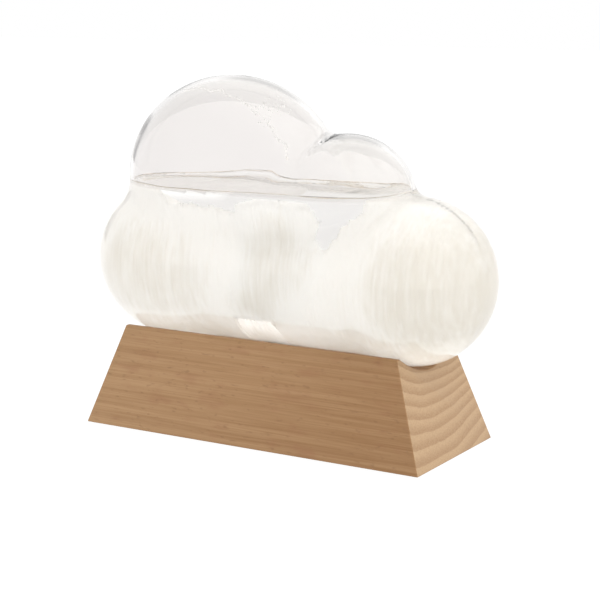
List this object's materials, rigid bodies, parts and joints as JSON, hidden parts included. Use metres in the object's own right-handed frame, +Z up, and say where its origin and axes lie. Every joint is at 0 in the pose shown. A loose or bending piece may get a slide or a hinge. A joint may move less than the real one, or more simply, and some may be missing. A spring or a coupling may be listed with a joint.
{
  "type": "storm glass",
  "caption": "Cloud-shaped blown glass vessel, part filled with clear liquid and white feathery crystals, resting in a troughed wooden block with sloping sides.",
  "frame": {"origin": "on the table under the middle of the whole object's bounding box, level with the undersides of the foot pads", "axes": "+X along the block towards the small upper lobe (the right-hand end seen from the front), -Y out of the front, +Z up"},
  "size_m": [0.198, 0.0752, 0.1621],
  "materials": {
    "beech": "satin",
    "felt": "matte",
    "clear_glass": "polished",
    "storm_liquid": "polished",
    "camphor": "matte",
    "silicone": "satin",
    "resin": "gloss"
  },
  "bodies": {
    "base": {"wooden_base": "beech", "foot_pad_front_left": "felt", "foot_pad_front_right": "felt", "foot_pad_back_left": "felt", "foot_pad_back_right": "felt"},
    "glass": {"cloud_glass": "clear_glass", "neck_plug": "silicone", "neck_seal": "resin", "storm_liquid": "storm_liquid", "crystal_bank_left": "camphor", "crystal_plume": "camphor", "crystal_bank_right": "camphor"}
  },
  "joints": [
    {"name": "glass_lift", "type": "slide", "parent": "base", "child": "glass", "axis": [0, 0, 1], "range_m": [0, 0.06]}
  ]
}
